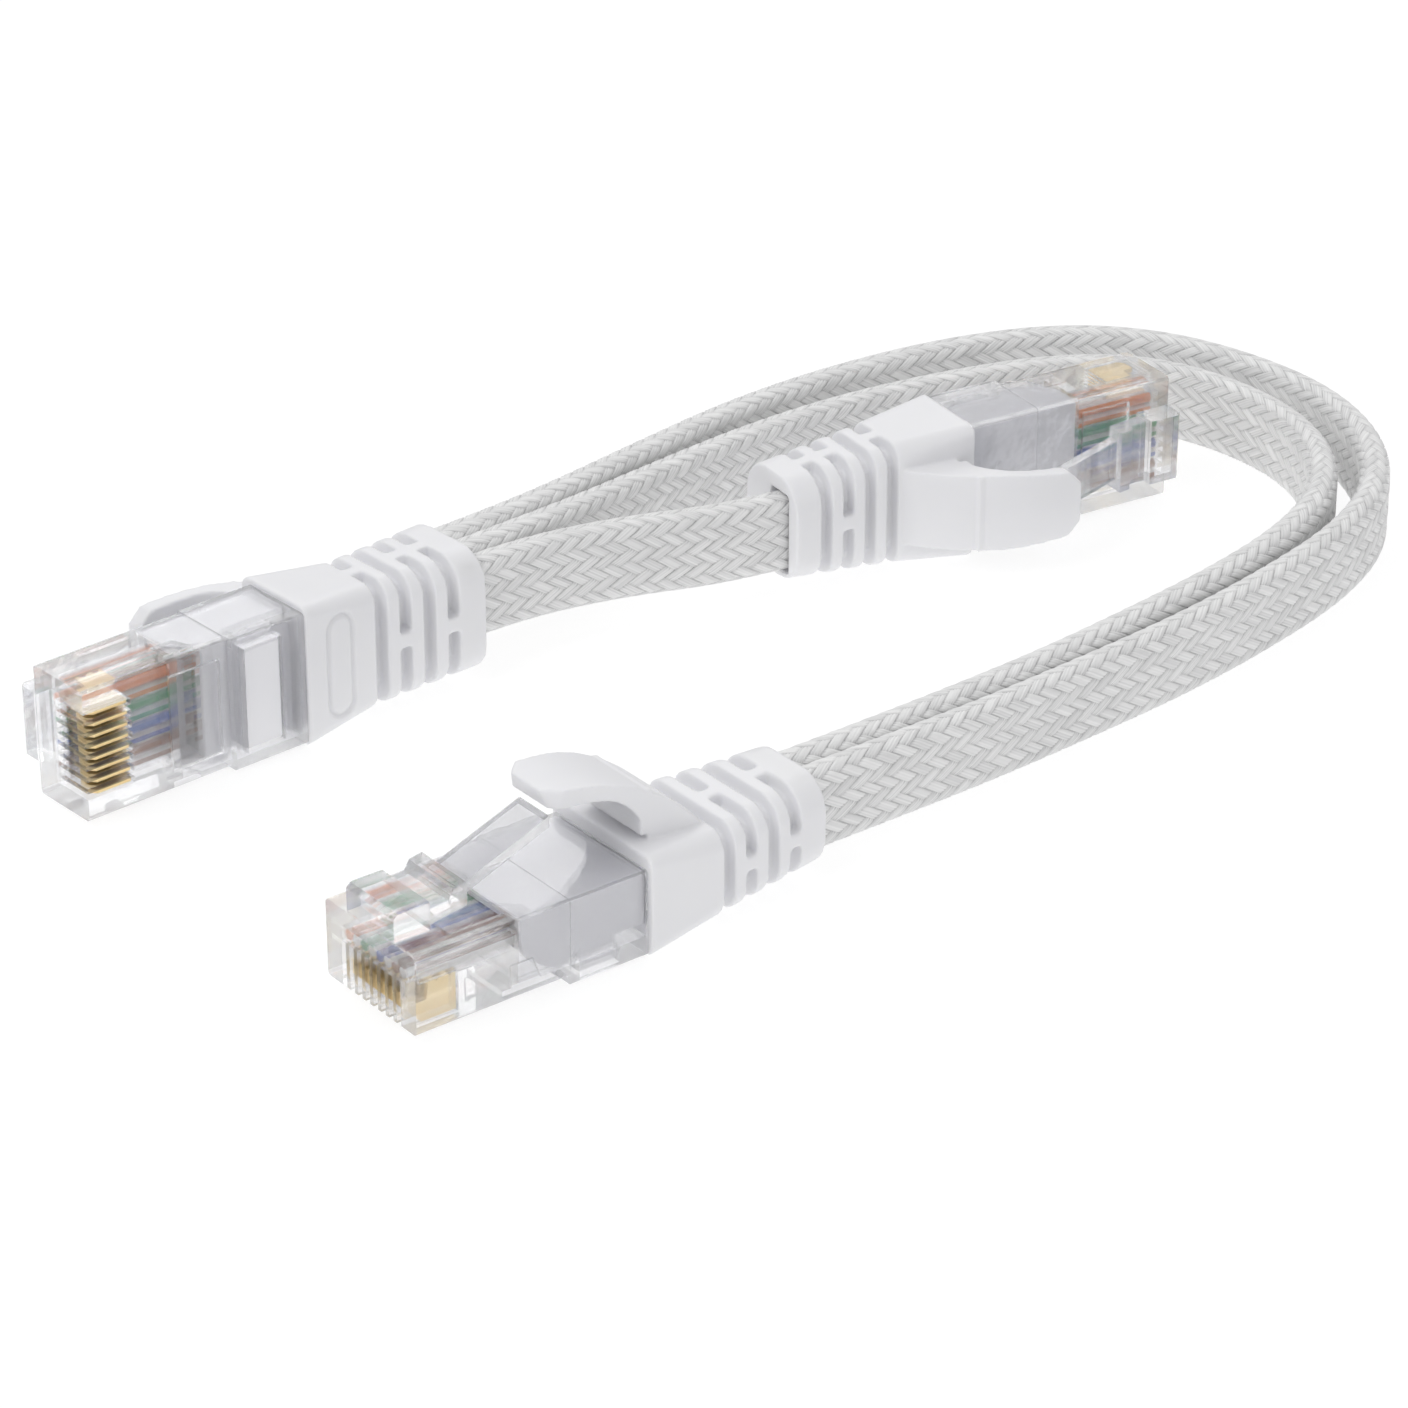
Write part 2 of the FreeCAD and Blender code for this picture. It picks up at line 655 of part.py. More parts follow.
def make_guard_seat(doc, size, plug):
    """The wedge on the boot's smooth part that the guard arm springs from."""
    body = new_body(doc, plug["name"] + "_guard_seat")
    base = size.smooth_top - 0.4
    seat = polygon(body, "XZ_Plane", (
        (size.guard_foot, base), (size.guard_foot, size.guard_foot_top, size.guard_crown),
        (size.guard_hinge, size.guard_hinge_top), (size.guard_hinge, base)))
    pad(body, seat, size.guard_width)
    return body


def make_guard(doc, size, plug):
    """The arm that arches forward over the latch lever and keeps it from snagging."""
    body = new_body(doc, plug["name"] + "_latch_guard")
    rear = size.guard_hinge - size.guard_gap
    profile = polygon(body, "XZ_Plane", (
        (rear, size.guard_rest), (rear, size.guard_hinge_top + 0.2, size.guard_crown),
        (size.guard_tip, size.guard_top), (size.guard_lip, size.guard_underside, -size.guard_crown),
        (size.guard_arch_start, size.guard_arch_top, -size.guard_arch)))
    pad(body, profile, size.guard_width)
    half, slim = size.guard_width / 2, size.guard_tip_width / 2
    above = size.guard_top + 5
    for side in (-1, 1):
        taper = polygon(body, "XY_Plane", (
            (size.guard_tip - 1, (slim - size.guard_corner - 1) * side),
            (size.guard_tip + size.guard_corner, slim * side), (rear - 2, half * side),
            (rear - 2, (half + 1) * side), (size.guard_tip - 1, (half + 1) * side)), above)
        pocket(body, taper, above, False, False)
    return body


# ---------------------------------------------------------------- ribbons


def rounded_path(points):
    """Straight runs joined by tangent arcs, and the arcs' radii."""
    points = [Vector(*point) for point in points]
    edges, radii, here = [], [], points[0]
    for before, corner, after in zip(points, points[1:], points[2:]):
        back, ahead = before - corner, after - corner
        shorter = min(back.Length, ahead.Length)
        turn = math.pi - back.getAngle(ahead)
        reach = 0.45 * shorter
        radius = reach / math.tan(turn / 2)
        radii.append(radius)
        back.normalize()
        ahead.normalize()
        first, last = corner + back * reach, corner + ahead * reach
        inward = (back + ahead).normalize()
        middle = corner + inward * (radius / math.cos(turn / 2) - radius)
        edges.append(Part.LineSegment(here, first).toShape())
        edges.append(Part.Arc(first, middle, last).toShape())
        here = last
    edges.append(Part.LineSegment(here, points[-1]).toShape())
    return Part.Wire(edges), radii


def ribbon_section(size, path):
    """The upright rounded section at the path's start."""
    tall, wide = size.ribbon_width.value, size.ribbon_thickness.value
    edge = size.ribbon_edge.value
    plate = Part.makePlane(tall, wide, Vector(-tall / 2, -wide / 2, 0))
    outline = plate.makeOffset2D(-edge).makeOffset2D(edge).OuterWire
    start = path.Edges[0].Vertexes[0].Point
    ahead = path.Edges[0].tangentAt(path.Edges[0].FirstParameter)
    upright = Rotation(Vector(0, 0, 1), Vector(0, 0, 1).cross(ahead), ahead, "ZXY")
    outline.Placement = Placement(start, upright)
    return outline


def make_ribbon(doc, size, name, points):
    """One flat cable on edge, swept along its route without twisting."""
    path, radii = rounded_path(points)
    section = ribbon_section(size, path)
    sweep = Part.BRepOffsetAPI.MakePipeShell(path)
    sweep.setBiNormalMode(Vector(0, 0, 1))
    sweep.add(section)
    sweep.build()
    sweep.makeSolid()
    ribbon = doc.addObject("Part::Feature", name)
    ribbon.Shape = sweep.shape()
    ribbon.Label = name
    expected = Part.Face(section).Area * path.Length
    print("%s: %.1f mm long, volume %.3f of section times length, radii %s" % (
        name, path.Length, ribbon.Shape.Volume / expected, " ".join("%.0f" % item for item in radii)))
    return ribbon


# ---------------------------------------------------------------- the whole part


def plug_pose(plug):
    turn = Rotation(Vector(0, 0, 1), plug["heading"])
    roll = Rotation(Vector(1, 0, 0), plug["roll"])
    return Placement(Vector(*plug["tip"], plug["height"]), turn.multiply(roll))


def make_plug(doc, size, plug):
    pieces = [make_shell(doc, size, plug), make_contacts(doc, size, plug), make_latch(doc, size, plug),
              make_guide(doc, size, plug), make_liner(doc, size, plug), make_clamp(doc, size, plug),
              make_core(doc, size, plug), make_boot(doc, size, plug), make_guard(doc, size, plug)]
    pieces += make_wires(doc, size, plug)
    doc.recompute()
    pose = plug_pose(plug)
    for piece in pieces:
        piece.Placement = pose.multiply(piece.Placement)
    return pieces


def check(doc, pieces):
    for item in doc.Objects:
        broken = {"Invalid", "Error"} & set(item.State)
        if broken:
            raise RuntimeError("%s is %s" % (item.Label, ", ".join(sorted(broken))))
    for piece in pieces:
        if piece.Shape.isNull() or not piece.Shape.isValid():
            raise RuntimeError("%s has no valid shape" % piece.Label)


def main():
    doc = FreeCAD.newDocument("PatchCable")
    size = Sheet(doc)
    pieces = []
    for plug in PLUGS:
        pieces += make_plug(doc, size, plug)
    box = Part.makeCompound([piece.Shape for piece in pieces]).optimalBoundingBox(False)
    print("plugs: x %.2f to %.2f, y %.2f to %.2f, z %.2f to %.2f" % (
        box.XMin, box.XMax, box.YMin, box.YMax, box.ZMin, box.ZMax))
    for name, points in ROUTES.items():
        pieces.append(make_ribbon(doc, size, name, points))
    doc.recompute()
    check(doc, pieces)
    os.makedirs("parts", exist_ok=True)
    for piece in pieces:
        piece.Shape.exportStep("parts/%s.step" % piece.Label)
    print("%d pieces" % len(pieces))


main()
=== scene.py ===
import json
import math

import bmesh
import bpy
import numpy as np
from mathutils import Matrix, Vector


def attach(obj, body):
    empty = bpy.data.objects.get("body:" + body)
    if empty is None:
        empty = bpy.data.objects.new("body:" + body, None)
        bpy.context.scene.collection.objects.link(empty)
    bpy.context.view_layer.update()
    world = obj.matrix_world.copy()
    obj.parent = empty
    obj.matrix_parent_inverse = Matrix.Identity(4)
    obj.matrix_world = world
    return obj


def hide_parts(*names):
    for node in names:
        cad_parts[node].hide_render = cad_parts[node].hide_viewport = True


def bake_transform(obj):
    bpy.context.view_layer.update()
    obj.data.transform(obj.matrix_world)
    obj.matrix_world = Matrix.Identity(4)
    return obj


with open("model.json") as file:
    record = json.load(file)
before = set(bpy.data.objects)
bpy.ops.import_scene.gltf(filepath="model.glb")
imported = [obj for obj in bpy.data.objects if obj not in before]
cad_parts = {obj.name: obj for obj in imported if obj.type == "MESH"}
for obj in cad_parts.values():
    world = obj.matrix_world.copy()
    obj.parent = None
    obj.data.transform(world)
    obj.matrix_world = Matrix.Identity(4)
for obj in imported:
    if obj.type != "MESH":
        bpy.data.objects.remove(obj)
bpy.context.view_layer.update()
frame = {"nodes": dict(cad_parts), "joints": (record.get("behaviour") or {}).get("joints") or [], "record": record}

MM = 0.001
NODES = frame["nodes"]
RECORD = frame["record"]
PLUGS = "abc"
rng = np.random.default_rng(7)

# ---------------------------------------------------------------- camera

CAMERA_AIM = Vector((5.95, 4.6, 0.0)) * MM
CAMERA_ELEVATION = math.radians(27.7)
CAMERA_DISTANCE = 0.42
CAMERA_LENS = 127.84


def make_camera():
    data = bpy.data.cameras.new("camera")
    data.lens = CAMERA_LENS
    data.clip_start = 0.01
    camera = bpy.data.objects.new("camera", data)
    away = Vector((0, -math.cos(CAMERA_ELEVATION), math.sin(CAMERA_ELEVATION)))
    camera.location = CAMERA_AIM + away * CAMERA_DISTANCE
    camera.rotation_euler = (math.pi / 2 - CAMERA_ELEVATION, 0, 0)
    bpy.context.scene.collection.objects.link(camera)
    bpy.context.scene.camera = camera


make_camera()

# ---------------------------------------------------------------- materials


def new_material(name):
    material = bpy.data.materials.new(name)
    material.use_nodes = True
    tree = material.node_tree
    return material, tree, tree.nodes["Principled BSDF"]


def link(tree, source, target):
    tree.links.new(source, target)


def add(tree, kind, **settings):
    node = tree.nodes.new(kind)
    for name, value in settings.items():
        setattr(node, name, value)
    return node


def noise(tree, scale, detail=3.0):
    """Noise in the part's own metres."""
    place = add(tree, "ShaderNodeTexCoord")
    texture = add(tree, "ShaderNodeTexNoise")
    texture.inputs["Scale"].default_value = scale
    texture.inputs["Detail"].default_value = detail
    link(tree, place.outputs["Object"], texture.inputs["Vector"])
    return texture.outputs["Fac"]


def tint(tree, factor, dark, light):
    """A colour between two, by a factor."""
    ramp = add(tree, "ShaderNodeMix", data_type="RGBA")
    link(tree, factor, ramp.inputs["Factor"])
    ramp.inputs["A"].default_value = (*dark, 1)
    ramp.inputs["B"].default_value = (*light, 1)
    return ramp.outputs["Result"]


def bump(tree, shader, height, strength, distance):
    node = add(tree, "ShaderNodeBump")
    node.inputs["Strength"].default_value = strength
    node.inputs["Distance"].default_value = distance
    link(tree, height, node.inputs["Height"])
    link(tree, node.outputs["Normal"], shader.inputs["Normal"])


def moulded(name, dark, light, roughness, grain=0.15):
    """Satin moulded plastic with a faint mottle and the fine grain of a mould's wall."""
    material, tree, shader = new_material(name)
    link(tree, tint(tree, noise(tree, 160), dark, light), shader.inputs["Base Color"])
    shader.inputs["Roughness"].default_value = roughness
    shader.inputs["IOR"].default_value = 1.48
    bump(tree, shader, noise(tree, 5200), grain, 0.00004)
    return material


def soft_white():
    material = moulded("soft_white_pvc", (0.80, 0.80, 0.82), (0.84, 0.84, 0.855), 0.42)
    shader = material.node_tree.nodes["Principled BSDF"]
    shader.inputs["Subsurface Weight"].default_value = 0.25
    shader.inputs["Subsurface Radius"].default_value = (0.9, 0.9, 1.0)
    shader.inputs["Subsurface Scale"].default_value = 0.0012
    return material


def clear_plastic():
    """Clear moulded polycarbonate with faint flow marks, part of it seen straight through."""
    material, tree, shader = new_material("clear_polycarbonate")
    link(tree, tint(tree, noise(tree, 220), (0.91, 0.915, 0.95), (0.97, 0.97, 0.985)),
         shader.inputs["Base Color"])
    shader.inputs["Transmission Weight"].default_value = 1.0
    shader.inputs["IOR"].default_value = 1.5
    shader.inputs["Roughness"].default_value = 0.03
    shader.inputs["Alpha"].default_value = 0.62
    bump(tree, shader, noise(tree, 420, 2.0), 0.25, 0.00008)
    return material


def frosted_plastic():
    """Milky moulded plastic that the wires show through as blurred colours."""
    material, tree, shader = new_material("frosted_nylon")
    link(tree, tint(tree, noise(tree, 260), (0.88, 0.885, 0.92), (0.94, 0.94, 0.96)),
         shader.inputs["Base Color"])
    shader.inputs["Transmission Weight"].default_value = 0.75
    shader.inputs["IOR"].default_value = 1.25
    shader.inputs["Roughness"].default_value = 0.55
    bump(tree, shader, noise(tree, 3200), 0.2, 0.00004)
    return material


def gold():
    material, tree, shader = new_material("gold_plate")
    link(tree, tint(tree, noise(tree, 900), (0.94, 0.70, 0.33), (1.0, 0.84, 0.50)),
         shader.inputs["Base Color"])
    shader.inputs["Metallic"].default_value = 1.0
    shader.inputs["Roughness"].default_value = 0.42
    bump(tree, shader, noise(tree, 2600), 0.2, 0.00003)
    return material


WIRE_COLOURS = {
    "orange": (0.78, 0.24, 0.07), "green": (0.03, 0.30, 0.12),
    "blue": (0.04, 0.11, 0.46), "brown": (0.27, 0.10, 0.05)}
WIRE_WHITE = (0.80, 0.80, 0.78)


def insulation(name, striped, up):
    """A wire's insulation: its colour, or white with a stripe along its top and its bottom."""
    material, tree, shader = new_material("insulation_" + name)
    colour = WIRE_COLOURS[name.split("_")[-1]]
    shade = tuple(value * 0.82 for value in colour)
    base = tint(tree, noise(tree, 1500), shade, colour)
    if striped:
        geometry = add(tree, "ShaderNodeNewGeometry")
        facing = add(tree, "ShaderNodeVectorMath", operation="DOT_PRODUCT")
        link(tree, geometry.outputs["Normal"], facing.inputs[0])
        facing.inputs[1].default_value = up
        size = add(tree, "ShaderNodeMath", operation="ABSOLUTE")
        link(tree, facing.outputs["Value"], size.inputs[0])
        stripe = add(tree, "ShaderNodeMapRange")
        stripe.inputs["From Min"].default_value = 0.86
        stripe.inputs["From Max"].default_value = 0.9
        link(tree, size.outputs["Value"], stripe.inputs["Value"])
        mix = add(tree, "ShaderNodeMix", data_type="RGBA")
        mix.inputs["A"].default_value = (*WIRE_WHITE, 1)
        link(tree, base, mix.inputs["B"])
        link(tree, stripe.outputs["Result"], mix.inputs["Factor"])
        base = mix.outputs["Result"]
    link(tree, base, shader.inputs["Base Color"])
    shader.inputs["Roughness"].default_value = 0.38
    return material


def braid_material():
    """White polyester yarn of random tone, with painted shade between its filaments, at its edges and where it
    dives under another.
    """
    material, tree, shader = new_material("white_yarn")
    # The yarns' random tone together with their painted shade, as one attribute.
    tone_and_shade = add(tree, "ShaderNodeAttribute", attribute_name="tone_and_shade")
    link(tree, tint(tree, tone_and_shade.outputs["Fac"], (0.46, 0.46, 0.465), (0.91, 0.91, 0.905)),
         shader.inputs["Base Color"])
    shader.inputs["Roughness"].default_value = 0.62
    shader.inputs["Sheen Weight"].default_value = 0.25
    bump(tree, shader, noise(tree, 9000, 4.0), 0.35, 0.00005)
    return material


YARN = braid_material()
# Painted shade: the grey of the sleeve under the yarns stands for the shade in the gaps between them.
YARN_GAP_SHADE = moulded("yarn_shadow", (0.56, 0.56, 0.57), (0.64, 0.64, 0.65), 0.9)
SOFT_WHITE = soft_white()
CLEAR = clear_plastic()
GOLD = gold()
WHITE_PLASTIC = moulded("white_nylon", (0.80, 0.80, 0.83), (0.86, 0.86, 0.88), 0.35)
FROSTED = frosted_plastic()
CORE = moulded("cable_jacket", (0.70, 0.70, 0.72), (0.76, 0.76, 0.78), 0.5)

# ---------------------------------------------------------------- meshes


def piece(name, data, material, body="cable"):
    """A new object in the scene that takes its finish from a slot and rides on a body."""
    made = bpy.data.objects.new(name, data)
    bpy.context.scene.collection.objects.link(made)
    data.materials.clear()
    data.materials.append(material)
    if body:
        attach(made, body)
    return made


def grid_mesh(name, sheets, attribute=None):
    """Several rectangular sheets of points, each rows by columns, as one smooth mesh."""
    count, rows, columns = sheets.shape[:3]
    mesh = bpy.data.meshes.new(name)
    mesh.vertices.add(count * rows * columns)
    mesh.vertices.foreach_set("co", sheets.reshape(-1).astype(np.float32))
    index = np.arange(count * rows * columns).reshape(count, rows, columns)
    quads = np.stack([index[:, :-1, :-1], index[:, 1:, :-1],
                      index[:, 1:, 1:], index[:, :-1, 1:]], -1)
    quads = quads.reshape(-1, 4)
    mesh.loops.add(quads.size)
    mesh.loops.foreach_set("vertex_index", quads.reshape(-1).astype(np.int32))
    mesh.polygons.add(len(quads))
    mesh.polygons.foreach_set("loop_start", np.arange(0, quads.size, 4, dtype=np.int32))
    mesh.polygons.foreach_set("use_smooth", np.ones(len(quads), bool))
    mesh.update(calc_edges=True)
    if attribute is not None:
        layer = mesh.attributes.new("tone_and_shade", "FLOAT", "POINT")
        layer.data.foreach_set("value", attribute.reshape(-1).astype(np.float32))
    return mesh


# ---------------------------------------------------------------- the braided ribbons

# The routes of the ribbons' centre lines, in millimetres, from pocket floor to pocket floor.
ROUTES = {
    "ribbon_link": (
        (-15.27, 8.80, 7.35), (-10.39, 13.10, 7.35), (-1.7, 18.3, 7.0), (8.12, 23.06, 6.05),
        (14.14, 26.63, 6.05)),
    "ribbon_outer": (
        (-19.17, 13.23, 7.35), (-14.67, 17.19, 7.35), (-7.6, 25.9, 6.5), (0.0, 37.2, 5.3),
        (8.6, 48.9, 4.3), (18.2, 58.0, 3.75), (29.0, 64.4, 3.75), (39.6, 67.6, 3.75),
        (48.8, 66.2, 3.75), (56.8, 60.8, 3.75), (63.2, 53.2, 3.75), (66.3, 43.4, 3.75),
        (65.5, 33.0, 3.75), (61.0, 23.8, 3.75), (54.0, 15.0, 3.75), (46.0, 6.4, 3.75),
        (37.4, -1.4, 3.75), (28.2, -9.9, 4.05), (18.29, -18.58, 4.6), (11.98, -23.49, 4.6)),
    "ribbon_inner": (
        (-17.22, 11.01, 7.35), (-12.72, 14.98, 7.35), (-5.0, 23.7, 6.5), (2.5, 33.9, 5.3),
        (10.0, 43.4, 4.3), (18.8, 51.4, 3.75), (29.4, 57.1, 3.75), (39.4, 60.6, 3.75),
        (47.6, 60.0, 3.75), (54.6, 55.0, 3.75), (59.6, 48.0, 3.75), (61.6, 39.6, 3.75),
        (60.2, 31.2, 3.75), (56.2, 23.6, 3.75), (49.8, 15.6, 3.75), (42.2, 7.8, 3.75),
        (34.5, 0.3, 3.75), (26.1, -7.5, 4.05), (16.48, -16.25, 4.6), (10.17, -21.16, 4.6)),
}
BRAID_PIECES = {"ribbon_link": 1, "ribbon_outer": 3, "ribbon_inner": 3}
RIBBON_WIDTH = 7.4 * MM
RIBBON_THICKNESS = 2.9 * MM
RIBBON_EDGE = 1.2 * MM
YARNS_EACH_WAY = 16
BRAID_ANGLE = math.radians(31)
FILAMENTS = 4
YARN_SINK = 0.17 * MM
YARN_WAVE = 0.08 * MM
YARN_CROWN = 0.05 * MM
YARN_SPREAD = 1.02
END_SLANT = 0.6
FILAMENT_GROOVE = 0.05 * MM
# Painted shade: darkening in the filament grooves, doubled at the yarns' edges, where shade falls between them.
GROOVE_PAINTED_SHADE = 0.24
# Painted shade: darkening where a yarn dives under its neighbour, from this share of the wave down.
DIVE_PAINTED_SHADE = 0.4
DIVE_SHADE_START = 0.3
YARN_TONES = (0.82, 1.0)
STREAK_TONES = (-0.22, 0.14)
WAVE_STEEPNESS = 2.2
YARN_EDGE_DROP = 1.9
CROWN_LEVEL = 0.9
STEPS_PER_CROSSING = 4


def smooth_line(name, points):
    """The points of a NURBS spline that has the route's points as its control points."""
    data = bpy.data.curves.new(name, "CURVE")
    data.dimensions = "3D"
    data.resolution_u = 24
    spline = data.splines.new("NURBS")
    spline.points.add(len(points) - 1)
    for control, point in zip(spline.points, points):
        control.co = (*(Vector(point) * MM), 1)
    spline.order_u = 3
    spline.use_endpoint_u = True
    holder = bpy.data.objects.new(name, data)
    bpy.context.scene.collection.objects.link(holder)
    drawn = bpy.data.meshes.new_from_object(
        holder.evaluated_get(bpy.context.evaluated_depsgraph_get()))
    line = np.array([vertex.co for vertex in drawn.vertices])
    bpy.data.objects.remove(holder)
    bpy.data.meshes.remove(drawn)
    return line


def stations(line, step):
    """Places at even steps along a line, with the directions ahead, sideways and up."""
    run = np.concatenate([[0], np.cumsum(np.linalg.norm(np.diff(line, axis=0), axis=1))])
    count = int(round(run[-1] / step)) + 1
    wanted = np.linspace(0, run[-1], count)
    place = np.stack([np.interp(wanted, run, line[:, axis]) for axis in range(3)], -1)
    ahead = np.gradient(place, axis=0)
    ahead /= np.linalg.norm(ahead, axis=1, keepdims=True)
    side = np.cross(ahead, (0, 0, 1))
    side /= np.linalg.norm(side, axis=1, keepdims=True)
    return place, ahead, side, np.cross(side, ahead)


class Outline:
    """The ribbon's rounded outline, walked by the distance round it."""

    def __init__(self, shrink):
        half_side = RIBBON_THICKNESS / 2 - shrink
        half_up = RIBBON_WIDTH / 2 - shrink
        edge = RIBBON_EDGE - shrink
        turns = np.linspace(0, math.pi / 2, 13)
        corners = ((1, 1, 0), (-1, 1, 1), (-1, -1, 2), (1, -1, 3))
        angle = np.concatenate([turns + quarter * math.pi / 2 for _, _, quarter in corners])
        centre = np.repeat([(side * (half_side - edge), up * (half_up - edge))
                            for side, up, _ in corners], len(turns), axis=0)
        self.normal = np.stack([np.cos(angle), np.sin(angle)], -1)
        self.point = centre + self.normal * edge
        closed = np.vstack([self.point, self.point[:1]])
        steps = np.linalg.norm(np.diff(closed, axis=0), axis=1)
        self.length = steps.sum()
        self.run = np.concatenate([[0], np.cumsum(steps)[:-1]])

    def at(self, distance):
        """Side and up, and the outward normal, at distances round the outline."""
        return [np.interp(distance, self.run, column, period=self.length)
                for column in (*self.point.T, *self.normal.T)]


def wave(phase):
    """Over two yarns and under two, with short ramps between."""
    return np.clip(WAVE_STEEPNESS * np.cos((phase - 0.5) * math.pi / 2), -1, 1)


def surface(frames, outline, distance, height):
    """Points over the ribbon: distance and height are yarns by stations by profile."""
    place, _, side, up = frames
    across, above, out_side, out_up = outline.at(distance)
    shape = (1, len(place), 1, 3)
    return (place.reshape(shape) + side.reshape(shape) * (across + height * out_side)[..., None]
            + up.reshape(shape) * (above + height * out_up)[..., None])


def yarn_profile():
    """Shares of a yarn's width across it, its heights there, and which of them are grooves."""
    share = np.linspace(-0.5, 0.5, 2 * FILAMENTS + 1)
    crown = YARN_CROWN * (np.sqrt(1 - (YARN_EDGE_DROP * share) ** 2) - CROWN_LEVEL)
    groove = (np.arange(len(share)) + 1) % 2 + 2 * (np.abs(share) > 0.49)
    return share, crown - FILAMENT_GROOVE * groove, groove


def make_braid(name, frames, first, last, step):
    """The yarns that wind each way round one stretch of ribbon, two over and two under."""
    outline = Outline(YARN_SINK)
    pitch = outline.length / YARNS_EACH_WAY
    crossing = pitch / (2 * math.tan(BRAID_ANGLE))
    stretch = tuple(part[first:last + 1] for part in frames)
    along = np.arange(first, last + 1) * step / crossing
    share, bumps, groove = yarn_profile()
    sheets, tones = [], []
    for way in (1, -1):
        number = np.arange(YARNS_EACH_WAY)
        phase = 2 * number[:, None] + way * along[None, :]
        centre = phase / 2 * pitch
        across = share * pitch * YARN_SPREAD
        distance = centre[..., None] + across
        over = way * wave(phase[..., None] + 2 * END_SLANT * across / pitch)
        sheets.append(surface(stretch, outline, distance, YARN_WAVE * over + bumps))
        own_tone = rng.uniform(*YARN_TONES, (YARNS_EACH_WAY, 1, 1))
        streak = rng.uniform(*STREAK_TONES, (YARNS_EACH_WAY, 1, len(share)))
        # Painted shade where a yarn dives under another.
        dive_shade = np.clip(1 - over / DIVE_SHADE_START, 0, 1)
        # Painted shade in the grooves, at the edges and where a yarn dives; the own tone and the streaks are
        # random tone.
        tones.append(own_tone + streak - GROOVE_PAINTED_SHADE * groove - DIVE_PAINTED_SHADE * dive_shade)
    mesh = grid_mesh(name, np.concatenate(sheets), np.clip(np.concatenate(tones), 0, 1))
    return piece(name, mesh, YARN)


def make_sleeve(name, frames):
    """The closed inner sleeve that the yarns lie on, grey as painted shade in the gaps between them."""
    outline = Outline(YARN_SINK + YARN_WAVE + YARN_CROWN * 0.6)
    round_it = np.append(outline.run, outline.length)
    distance = np.broadcast_to(round_it, (1, len(frames[0]), len(round_it)))
    sheet = surface(frames, outline, distance, np.zeros_like(distance))
    mesh = grid_mesh(name, sheet)
    shape = bmesh.new()
    shape.from_mesh(mesh)
    bmesh.ops.remove_doubles(shape, verts=shape.verts, dist=1e-7)
    bmesh.ops.holes_fill(shape, edges=shape.edges)
    shape.to_mesh(mesh)
    shape.free()
    return piece(name, mesh, YARN_GAP_SHADE)


def make_ribbon(name):
    """One braided flat cable: a sleeve and its yarns, which stand for the CAD tube."""
    line = smooth_line(name, ROUTES[name])
    outline = Outline(YARN_SINK)
    crossing = outline.length / YARNS_EACH_WAY / (2 * math.tan(BRAID_ANGLE))
    step = crossing / STEPS_PER_CROSSING
    frames = stations(line, step)
    sleeve = make_sleeve(name + "_sleeve", tuple(part[::2] for part in frames))
    edges = np.linspace(0, len(frames[0]) - 1, BRAID_PIECES[name] + 1).astype(int)
    braids = [make_braid("%s_braid_%d" % (name, number + 1), frames, first, last, step)
              for number, (first, last) in enumerate(zip(edges, edges[1:]))]
    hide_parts(name)


for ribbon in ROUTES:
    make_ribbon(ribbon)

# ---------------------------------------------------------------- the plugs' own frames


class Plug:
    """A plug's own axes: X from nose to rear, Y across the contacts, Z to the latch side."""

    NOSE_HEIGHT = 3.35

    def __init__(self, name):
        nose = next(mount for mount in RECORD["mounts"] if mount["name"] == name + "_plug_nose")
        hinge = next(joint for joint in frame["joints"] if joint["name"] == name + "_guard_flex")
        self.name = name
        self.x = -Vector(nose["axis"]).normalized()
        self.y = -Vector(hinge["axis"]).normalized()
        self.z = self.x.cross(self.y)
        self.origin = Vector(nose["pos_m"]) - self.z * self.NOSE_HEIGHT * MM

    def at(self, x, y, z):
        return self.origin + (self.x * x + self.y * y + self.z * z) * MM

    def local(self, points):
        """World points in metres as millimetres along the plug's axes."""
        away = (points - np.array(self.origin)) / MM
        return np.stack([away @ np.array(axis) for axis in (self.x, self.y, self.z)], -1)


# ---------------------------------------------------------------- boots

BOOT_VOXEL = 0.15 * MM
BOOT_SMOOTHING = 7
GUARD_BRIDGE = ((22.7, -3.6, 8.25), (23.8, 3.6, 12.1))
GUARD_BEND = ((23.2, 0, 8.6), (21.0, 0, 12.6))
PILL_CENTRE = 25.2
PILL_HALF_LENGTH = 3.3
PILL_RADIUS = 1.3
PILL_GROOVE = 0.2
PILL_DEPTH = 0.3


def box_into(shape, plug, low, high):
    """A box between two corners given along the plug's axes."""
    corners = [shape.verts.new(plug.at(x, y, z))
               for x in (low[0], high[0]) for y in (low[1], high[1]) for z in (low[2], high[2])]
    for face in ((0, 1, 3, 2), (4, 6, 7, 5), (0, 4, 5, 1), (2, 3, 7, 6), (0, 2, 6, 4), (1, 5, 7, 3)):
        shape.faces.new([corners[i] for i in face])


def remeshed(name, mesh, voxel, smoothing):
    """The mesh as one even skin with rounded edges."""
    holder = bpy.data.objects.new(name, mesh)
    bpy.context.scene.collection.objects.link(holder)
    skin = holder.modifiers.new("skin", "REMESH")
    skin.mode = "VOXEL"
    skin.voxel_size = voxel
    soft = holder.modifiers.new("soft", "SMOOTH")
    soft.factor = 0.5
    soft.iterations = smoothing
    made = bpy.data.meshes.new_from_object(
        holder.evaluated_get(bpy.context.evaluated_depsgraph_get()))
    bpy.data.objects.remove(holder)
    made.name = name
    return made


